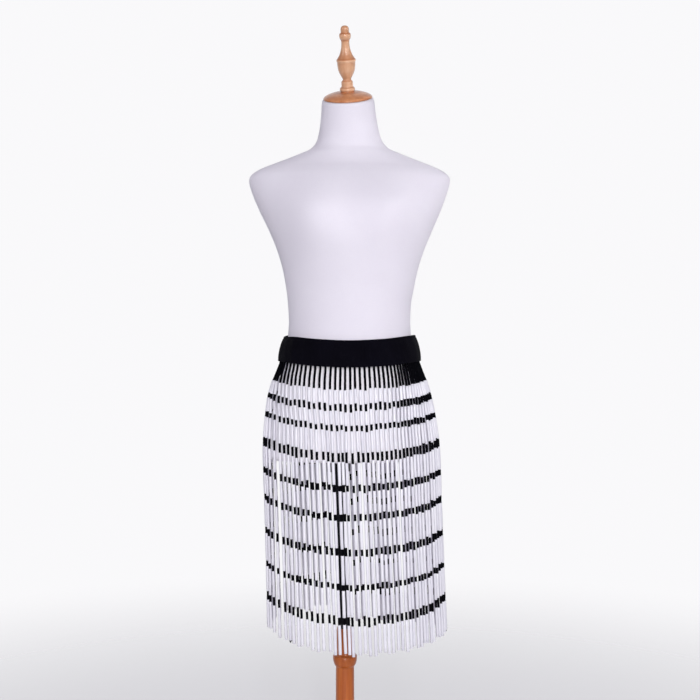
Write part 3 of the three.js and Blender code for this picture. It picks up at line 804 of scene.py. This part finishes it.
# ------------------------------------------------------------------ waistband
def band_point(angle, up, out):
    """A point on the waistband: up from its lower edge, and out from the middle of its wall."""
    wide, deep = look(BAND, "up", up, "wide"), look(BAND, "up", up, "deep")
    s, c = math.sin(rad(angle)), math.cos(rad(angle))
    nx, ny = s / wide, -c / deep
    ln = math.hypot(nx, ny)
    off = -BAND_WALL / 2 - tuck_at(angle) + out
    return np.array([FORM_X + wide * s + nx / ln * off, -deep * c + ny / ln * off, BAND_TOP - BAND_DEEP + up * pressed(angle) + lift_at(angle)])


# soft upright creases in the cloth: place, lean, width and depth
CREASES = [dict(at=3.5, lean=2.5, wide=1.6, deep=-0.5), dict(at=8.5, lean=-2, wide=1.3, deep=-0.45),
           dict(at=12.5, lean=1.5, wide=1.5, deep=-0.6), dict(at=16, lean=-1, wide=1.0, deep=0.35),
           dict(at=-20, lean=2, wide=3.2, deep=-0.35), dict(at=-52, lean=-4, wide=3.5, deep=0.6),
           dict(at=-74, lean=3, wide=3.0, deep=1.0), dict(at=-84, lean=-2, wide=2.4, deep=-0.6),
           dict(at=40, lean=3, wide=3.4, deep=-0.5), dict(at=66, lean=-3, wide=3, deep=0.6),
           dict(at=88, lean=3, wide=2.6, deep=-0.5), dict(at=112, lean=-4, wide=3.4, deep=0.6),
           dict(at=139, lean=3, wide=3, deep=-0.6), dict(at=158, lean=-3, wide=2.6, deep=0.5),
           dict(at=-112, lean=4, wide=3.2, deep=0.7), dict(at=-133, lean=-3, wide=2.8, deep=-0.6),
           dict(at=-158, lean=3, wide=2.6, deep=0.6), dict(at=-176, lean=-2, wide=2.2, deep=0.5)]


def ripple(angle, up):
    t = up / BAND_DEEP
    v = 0.28 * smooth_noise(angle * 0.16 + 40, 61) * math.sin(math.pi * t)
    v += 0.2 * smooth_noise(angle * 0.5 + t * 1.7 + 90, 63)
    v += 0.75 * math.sin(math.pi * min(max(t, 0), 1)) ** 0.8 * 0.6
    for c in CREASES:
        a = angle - c["at"] - c["lean"] * (t - 0.5)
        v += c["deep"] * math.exp(-(a / c["wide"]) ** 2) * (0.35 + 0.65 * math.sin(math.pi * min(max(t * 0.85 + 0.1, 0), 1)))
    return v


def section(angle, start_end=0.0):
    """The waistband's closed section, from the outer lower edge round: (up, out)."""
    h, w = BAND_DEEP, BAND_WALL / 2
    sec = []
    for t in np.linspace(0.035, 0.965, 22):
        up = h * t
        out = w
        # the row of stitches 4 mm under the upper fold draws the cloth in, and the lower one likewise
        for row, depth in ((h - 4.2, 0.75), (4.0, 0.35)):
            out -= depth * math.exp(-((up - row) / 0.9) ** 2)
        sec.append((up, out))
    for t in np.linspace(0, math.pi, 7)[1:-1]:
        sec.append((h - 1.5 + 1.5 * math.sin(t), w * math.cos(t)))
    for t in np.linspace(0.965, 0.035, 12):
        sec.append((h * t, -w))
    for t in np.linspace(0, math.pi, 7)[1:-1]:
        sec.append((1.5 - 1.5 * math.sin(t), -w * math.cos(t)))
    return sec


band = Build()
A0, A1, NB = -180 - FLAP, 179.6, 520
rings, uvs = [], []
lengths = [0.0]
for k in range(NB + 1):
    a = A0 + (A1 - A0) * k / NB
    if k:
        lengths.append(lengths[-1] + ring_rate(126, 100, a) * (A1 - A0) / NB)
for k in range(NB + 1):
    a = A0 + (A1 - A0) * k / NB
    # the two ends are turned in: the last millimetres round off
    near = min(lengths[k], lengths[-1] - lengths[k])
    squeeze = math.sqrt(min(max((near + 0.25) / 1.6, 0.08), 1.0))
    sec = section(a)
    ring = []
    for up, out in sec:
        extra = ripple(a, up) * smoothstep(near, 0, 14)
        extra = max(extra, -0.1) if abs(a) > 176 else extra
        ring.append(band_point(a, up, out * squeeze + min(extra, 1.4)))
    rings.append(ring)
    per = [0.0]
    for j in range(len(sec)):
        p, q = sec[j], sec[(j + 1) % len(sec)]
        per.append(per[-1] + math.hypot(q[0] - p[0], q[1] - p[1]))
    uvs.append([(lengths[k] / 1000, v / 1000) for v in per])
base = band.grid(rings, uv=uvs, tone=0.5, flip=True)
m = len(section(0))
band.face([base + j for j in range(m)])
band.face([base + NB * m + j for j in range(m - 1, -1, -1)])
# machine stitches in black thread, 2.6 mm long, along both edges and across the lapped end
def stitch(b, p, q, n, r=0.26):
    axis = (q - p) / np.linalg.norm(q - p)
    side = np.cross(n, axis)
    rings = []
    for t in np.linspace(0, 1, 5):
        h = math.sin(math.pi * t) * 0.22 - 0.12
        rr = r * (0.55 + 0.45 * math.sin(math.pi * t))
        th = np.linspace(0, 2 * math.pi, 5, endpoint=False)
        rings.append(p + (q - p) * t + n * h + rr * (np.outer(np.cos(th), side) + np.outer(np.sin(th), n)))
    base = b.grid(rings, uv=[[(x / 5, t) for x in range(6)] for t in range(5)], tone=0.5, flip=False)
    b.face([base + j for j in range(4, -1, -1)])
    b.face([base + 20 + j for j in range(5)])


def on_band(a, up):
    h, w = BAND_DEEP, BAND_WALL / 2
    out = w
    for row, depth in ((h - 4.2, 0.75), (4.0, 0.35)):
        out -= depth * math.exp(-((up - row) / 0.9) ** 2)
    near = min(np.interp(a, np.linspace(A0, A1, NB + 1), lengths), lengths[-1] - np.interp(a, np.linspace(A0, A1, NB + 1), lengths))
    extra = ripple(a, up) * smoothstep(near, 0, 14)
    extra = max(extra, -0.1) if abs(a) > 176 else extra
    return band_point(a, up, out + min(extra, 1.4))


for up in (BAND_DEEP - 4.2, 4.0):
    a = A0 + 1.2
    while a < A1 - 2.0:
        step = 2.6 / ring_rate(126, 100, a) / 1.0
        p, q = on_band(a, up), on_band(a + step * 0.78, up)
        n = band_point(a, up, 1) - band_point(a, up, 0)
        stitch(band, p, q, n)
        a += step
for row in (2.0, 4.6):
    up = 3.0
    while up < BAND_DEEP - 5:
        a = A0 + row
        p, q = on_band(a, up), on_band(a, up + 2.0)
        stitch(band, p, q, band_point(a, up, 1) - band_point(a, up, 0))
        up += 2.7
waist = band.make("waistband_cloth", [M_BAND])
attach(waist, "form")
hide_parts("waistband")


# ------------------------------------------------------------------ the form
def form_row(z):
    keys = [r[0] for r in FORM]
    t = {"z": keys}
    for n, name in enumerate(("x", "y", "wide", "front", "back", "tilt")):
        t[name] = [r[n + 1] for r in FORM]
    return [look(t, "z", z, name) for name in ("x", "y", "wide", "front", "back", "tilt")]


def form_ring(z, sides, shrink=0.0):
    x0, y0, wide, front, back, tilt = form_row(z)
    th = np.linspace(0, 2 * math.pi, sides, endpoint=False)
    sx, sz = np.sin(th), np.cos(th)
    depth = np.where(sz < 0, front, back) - shrink
    tl = rad(tilt)
    ln = tl * CAP_LEAN / CAP_TILT
    px = x0 + sx * (wide - shrink)
    py = y0 + sz * depth * math.cos(tl)
    pz = z + sz * depth * math.sin(tl) + sx * (wide - shrink) * math.sin(ln)
    for side in (-1, 1):
        bump_ = BUST["out"] * np.clip(-sz, 0, None) * np.exp(-((px - x0 - side * BUST["apart"]) / BUST["spread_x"]) ** 2 / 2 - ((z - BUST["z"]) / BUST["spread_z"]) ** 2 / 2)
        py = py - bump_
    return np.stack([px, py, pz], -1)


SIDES = 144
torso = Build()
levels = [774.0 + 0.9 * k for k in range(6)] + list(np.linspace(779.5, 1290, 120)) + list(np.linspace(1292, 1364, 48)) + list(np.linspace(1366, 1440.5, 34))
rings = []
# underside: flat, then rolls up into the side
bottom = form_ring(774.0, SIDES)
centre = bottom.mean(axis=0)
rings.append(centre + (bottom - centre) * 0.004)
for f in (0.3, 0.6, 0.85, 0.96):
    rings.append(centre + (bottom - centre) * f)
for z in levels:
    rings.append(form_ring(z, SIDES))
top = form_ring(1440.5, SIDES)
c2 = top.mean(axis=0)
for f in (0.96, 0.6, 0.004):
    rings.append(c2 + (top - c2) * f)
rings = np.array(rings)
# u is the way round in metres at the waist, v the way up the surface in metres
lens = [0.0]
for k in range(1, len(rings)):
    lens.append(lens[-1] + float(np.linalg.norm(rings[k][0] - rings[k - 1][0])) / 1000)
uv = [[(0.72 * j / SIDES, v) for j in range(SIDES + 1)] for v in lens]
torso.grid(rings, uv=uv, tone=0.5, flip=True)
t = torso.make("form_cover", [M_JERSEY])
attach(t, "form")
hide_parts("torso")


# ------------------------------------------------------------------ turned pieces
def lathe(name, profile, mat, body, replaces, matrix=None, sides=96, fine=5):
    """profile: rows of (radius, height, sharp). Rounded through its rows, but crisp where sharp is 1."""
    pts = []
    n = len(profile)
    for k in range(n - 1):
        p0, p1 = np.array(profile[k][:2], float), np.array(profile[k + 1][:2], float)
        s0, s1 = profile[k][2], profile[k + 1][2]
        before = np.array(profile[k - 1][:2], float) if k else p0
        after = np.array(profile[k + 2][:2], float) if k + 2 < n else p1
        m0 = (p1 - p0) if s0 else (p1 - before) / 2
        m1 = (p1 - p0) if s1 else (after - p0) / 2
        lim = np.linalg.norm(p1 - p0)
        for m in (m0, m1):
            ln = np.linalg.norm(m)
            if ln > lim > 0:
                m *= lim / ln
        steps = 1 if (s0 and s1) else fine
        for j in range(steps):
            t = j / steps
            t2, t3 = t * t, t * t * t
            pts.append((2 * t3 - 3 * t2 + 1) * p0 + (t3 - 2 * t2 + t) * m0 + (3 * t2 - 2 * t3) * p1 + (t3 - t2) * m1)
    pts.append(np.array(profile[-1][:2], float))
    b = Build()
    th = np.linspace(0, 2 * math.pi, sides, endpoint=False)
    rings = [np.stack([max(r, 0.02) * np.cos(th), max(r, 0.02) * np.sin(th), np.full(sides, z)], -1) for r, z in pts]
    lens = [0.0]
    for k in range(1, len(pts)):
        lens.append(lens[-1] + float(np.linalg.norm(pts[k] - pts[k - 1])) / 1000)
    b.grid(rings, uv=[[(j / sides, v) for j in range(sides + 1)] for v in lens], tone=0.5)
    o = b.make(name, [mat], matrix=matrix)
    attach(o, body)
    if replaces:
        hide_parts(replaces)
    return o


def edge(r, z, w=0.6, way=(1, 1)):
    """Two rows that ease a sharp corner."""
    return [(r - w * way[0], z, 1), (r, z - w * way[1], 1)]


neck = Matrix.Translation(((FORM_X - 3.1) / 1000, -0.0074, 1.4412)) @ Matrix.Rotation(rad(-CAP_LEAN), 4, "Y") @ Matrix.Rotation(rad(CAP_TILT), 4, "X")
dome = [(0, 0, 1), (CAP_R - 1.0, 0, 1), (CAP_R - 0.2, 0.4, 0), (CAP_R, 1.4, 0), (CAP_R - 0.5, 2.6, 0)]
for turn in (18, 30, 42, 54, 64, 72):
    dome.append((CAP_R * math.cos(rad(turn)) ** 1.1, 1.4 + (CAP_HIGH - 1.4) * math.sin(rad(turn)) ** 1.2, 0))
dome += [(13.0, CAP_HIGH, 1), (0, CAP_HIGH, 1)]
# painted shade in the cap's turned grooves, near its rim and near its top
M_CAP = wood_material("turned_wood_cap", (0.43, 0.145, 0.053), (0.58, 0.245, 0.105), (0.70, 0.345, 0.17), 0.5, 0.46,
                      (0, CAP_HIGH / 1000, [(0.0, (1, 1, 1)), (0.08, (1, 1, 1)), (0.13, (0.72, 0.58, 0.5)), (0.2, (0.98, 0.96, 0.94)), (0.5, (0.9, 0.86, 0.82)),
                                            (0.76, (0.95, 0.92, 0.9)), (0.86, (0.68, 0.52, 0.42)), (0.93, (0.8, 0.7, 0.62)), (0.97, (1, 1, 1)), (1.0, (1, 1, 1))]))
lathe("neck_cap_turned", dome, M_CAP, "form", "neck_cap", neck)
F = CAP_HIGH + SEAM
FINIAL = [(0, 0, 1), (13.0, 0, 1), (13.7, 0.7, 0), (14.1, 2.2, 0), (13.9, 4.2, 0), (13.0, 5.6, 1), (11.6, 6.4, 0), (10.8, 7.8, 0), (10.5, 9.2, 1), (10.75, 10.2, 0),
          (10.6, 12.5, 0), (10.65, 15.2, 0), (10.2, 16.6, 1), (9.2, 17.4, 0), (7.9, 19.2, 0), (7.7, 20.8, 0), (8.8, 23, 0), (10.4, 25.7, 0), (12.9, 30.4, 0), (14.8, 35, 0),
          (15.8, 39.5, 0), (16.4, 44.3, 0), (16.8, 50.4, 1), (17.3, 50.9, 1), (17.7, 52.4, 0), (17.6, 53.9, 0), (17.1, 54.9, 1), (15.3, 57.2, 0), (12.2, 62.0, 0), (10.2, 66.6, 0), (8.7, 71.5, 0),
          (7.75, 76.5, 0), (7.3, 82.5, 0), (7.6, 86.2, 0), (8.2, 88.0, 1), (9.3, 89.4, 0), (10.2, 92.2, 0), (10.5, 95.2, 0), (10.1, 97.8, 0), (9.3, 98.9, 1), (7.9, 99.5, 1), (7.45, 100.6, 0),
          (7.6, 103.5, 0), (7.5, 106.2, 0), (6.6, 108.8, 0), (4.8, 110.8, 0), (2.5, 111.7, 0), (0, 112, 1)]
# painted shade: the wood is darkened in the turned grooves and on the shoulder above the widest ring
GROOVE_SHADE = [dict(up=0, depth=0.2), dict(up=4.6, depth=0.1), dict(up=6.3, depth=0.75), dict(up=8.5, depth=0.15), dict(up=15.6, depth=0.15),
           dict(up=17.6, depth=0.7), dict(up=22, depth=0.25), dict(up=36, depth=0.12), dict(up=49.4, depth=0.3), dict(up=51, depth=0), dict(up=54, depth=0),
           dict(up=55.2, depth=0.9), dict(up=58, depth=0.62), dict(up=67, depth=0.5), dict(up=73, depth=0.12), dict(up=84, depth=0.12),
           dict(up=87.6, depth=0.7), dict(up=90, depth=0.1), dict(up=96, depth=0.1), dict(up=99.2, depth=0.95), dict(up=102, depth=0.3), dict(up=112, depth=0.35)]
M_WOOD = wood_material("turned_wood_light", (0.55, 0.27, 0.13), (0.70, 0.40, 0.23), (0.82, 0.53, 0.34), 0.6, 0.42,
                       (F / 1000, 0.112,
                        [(v["up"] / 112, (1 - 0.42 * v["depth"], 1 - 0.68 * v["depth"], 1 - 0.84 * v["depth"])) for v in GROOVE_SHADE]))
lathe("finial_turned", [(r, z + F, s) for r, z, s in FINIAL], M_WOOD, "form", "finial", neck)

drop = Matrix.Translation((ROD_X / 1000, 0, POLE_TOP / 1000)) @ Matrix.Rotation(rad(-ROD_LEAN), 4, "Y")
ST = 774 - POLE_TOP - 1.2
lathe("rod_socket_turned", [(9.8, ST, 1), (9.8, ST - 50, 1), (13.4, ST - 50, 1), (14, ST - 49.4, 1), (14, ST - 23.5, 1), (14.6, ST - 22.4, 0), (16, ST - 22, 1), (20.9, ST - 22, 1), (21.5, ST - 21.4, 1),
                            (21.5, ST - 0.6, 1), (20.9, ST, 1), (9.8, ST, 1)], M_METAL, "form", "rod_socket", drop)
RL = ROD_FOOT - POLE_TOP
lathe("rod_turned", [(0, RL, 1), (8.9, RL, 1), (9.5, RL + 0.6, 1), (9.5, -60, 1), (9.5, 100, 1), (9.5, ST - 1.1, 1), (8.9, ST - 0.5, 1), (0, ST - 0.5, 1)], M_METAL, "form", "rod", drop)

POLE = [(0, 30.3, 1), (23.4, 30.3, 1), (24, 30.9, 1), (24.2, 36, 0), (23.9, 43.4, 1), (21.6, 45.4, 0), (20.2, 49, 0), (19.8, 52, 1), (19.0, 53.0, 1), (18.5, 58, 0), (18.3, 66, 0), (18.05, 120, 0), (17.6, 240, 0),
        (17.2, 340, 0), (17.0, 388.5, 0), (17.2, 390.0, 1), (18.7, 391.6, 0), (20.3, 394.5, 0), (21.6, 399, 0), (22.3, 403.5, 0), (22.4, 407, 0), (21.9, 409.4, 0), (20.6, 410.6, 1), (17.4, 411.3, 1), (16.0, 413, 0), (15.6, 416, 0),
        (15.45, 440, 0), (15.4, 459.8, 1), (14.8, 461, 1), (13.6, 461, 1), (13.2, 460.4, 1), (13.2, 196, 1), (0, 196, 1)]
lathe("pole_turned", POLE, M_POLE, "stand", "pole")
FOOT = [(0, 0, 1), (157.6, 0, 1), (158.5, 0.4, 1), (162.4, 2.4, 0), (164.6, 6.6, 0), (165, 11, 0), (163.8, 15, 0), (161.4, 17.6, 1), (159.5, 18.2, 1), (156, 18.8, 0), (153.8, 20.6, 0), (153, 23, 1),
        (151, 24.2, 0), (146, 25, 0), (120, 26, 0), (80, 26.6, 0), (62, 27.0, 0), (50, 27.8, 0), (41, 29.2, 0), (38.4, 29.9, 1), (37.6, 30, 1), (0, 30, 1)]
lathe("foot_turned", FOOT, M_POLE, "stand", "base")


# ------------------------------------------------------------------ floor, light
def stage_floor():
    me = bpy.data.meshes.new("floor")
    n, r = 96, 5.0
    verts = [(0, 0, -0.0004)] + [(r * math.cos(2 * math.pi * k / n), r * math.sin(2 * math.pi * k / n), -0.0004) for k in range(n)]
    me.from_pydata(verts, [], [(0, 1 + k, 1 + (k + 1) % n) for k in range(n)])
    o = bpy.data.objects.new("floor", me)
    bpy.context.scene.collection.objects.link(o)
    m, nt, b = material("pale_floor")
    b.inputs["Base Color"].default_value = (0.86, 0.855, 0.87, 1)
    b.inputs["Roughness"].default_value = 0.7
    coord = nt.nodes.new("ShaderNodeTexCoord")
    length = nt.nodes.new("ShaderNodeVectorMath")
    length.operation = "LENGTH"
    nt.links.new(coord.outputs["Object"], length.inputs[0])
    fade = nt.nodes.new("ShaderNodeMapRange")
    fade.interpolation_type = "SMOOTHSTEP"
    fade.inputs["From Min"].default_value = 0.5
    fade.inputs["From Max"].default_value = 2.8
    nt.links.new(length.outputs["Value"], fade.inputs["Value"])
    fade.inputs["To Min"].default_value = 0.34
    clear = nt.nodes.new("ShaderNodeBsdfTransparent")
    mix = nt.nodes.new("ShaderNodeMixShader")
    nt.links.new(fade.outputs["Result"], mix.inputs["Fac"])
    nt.links.new(b.outputs["BSDF"], mix.inputs[1])
    nt.links.new(clear.outputs["BSDF"], mix.inputs[2])
    out = next(x for x in nt.nodes if x.type == "OUTPUT_MATERIAL")
    nt.links.new(mix.outputs["Shader"], out.inputs["Surface"])
    me.materials.append(m)


stage_floor()
# a studio: a bright backdrop behind the object, dimmer walls everywhere else
world = bpy.data.worlds.new("studio")
bpy.context.scene.world = world
world.use_nodes = True
wn = world.node_tree
bg = wn.nodes["Background"]
bg.inputs["Strength"].default_value = 1.0
wc = wn.nodes.new("ShaderNodeTexCoord")
_, wy, _ = separate(wn, wc.outputs["Generated"])
back = wn.nodes.new("ShaderNodeMapRange")
back.interpolation_type = "SMOOTHSTEP"
back.inputs["From Min"].default_value = 0.15
back.inputs["From Max"].default_value = 0.84
wn.links.new(wy, back.inputs["Value"])
wn.links.new(ramp(wn, back.outputs["Result"], [(0.0, (0.19, 0.185, 0.235)), (1.0, (0.95, 0.945, 0.96))]), bg.inputs["Color"])


def area(name, loc, aim, size, power, colour=(1, 1, 1)):
    d = bpy.data.lights.new(name, "AREA")
    d.shape = "RECTANGLE"
    d.size, d.size_y = size
    d.energy = power
    d.color = colour
    o = bpy.data.objects.new(name, d)
    o.location = loc
    o.rotation_euler = (Vector(aim) - Vector(loc)).to_track_quat("-Z", "Y").to_euler()
    bpy.context.scene.collection.objects.link(o)
    return o


area("front", (0.19, -3.0, 1.25), (0, 0, 0.95), (0.2, 1.7), 61, (1.0, 0.985, 0.995))
area("key_right", (2.0, -1.8, 1.9), (0, 0, 1.15), (0.9, 1.0), 17, (0.97, 0.98, 1.0))
area("key_left", (-2.0, -1.6, 1.8), (0, 0, 1.1), (0.9, 1.0), 11, (0.95, 0.95, 1.0))
# two narrow beams that open up the shoulders and the sides of the chest, above the skirt
for name, x, power in (("chest_right", 2.5, 0.22), ("chest_left", -2.5, 0.05)):
    beam = area(name, (x, -0.55, 1.5), (x * 0.04, 0, 1.24), (0.5, 0.4), power, (1.0, 0.985, 0.98))
    beam.data.spread = rad(19)

bpy.context.scene.view_settings.view_transform = "Standard"
bpy.context.scene.view_settings.look = "None"
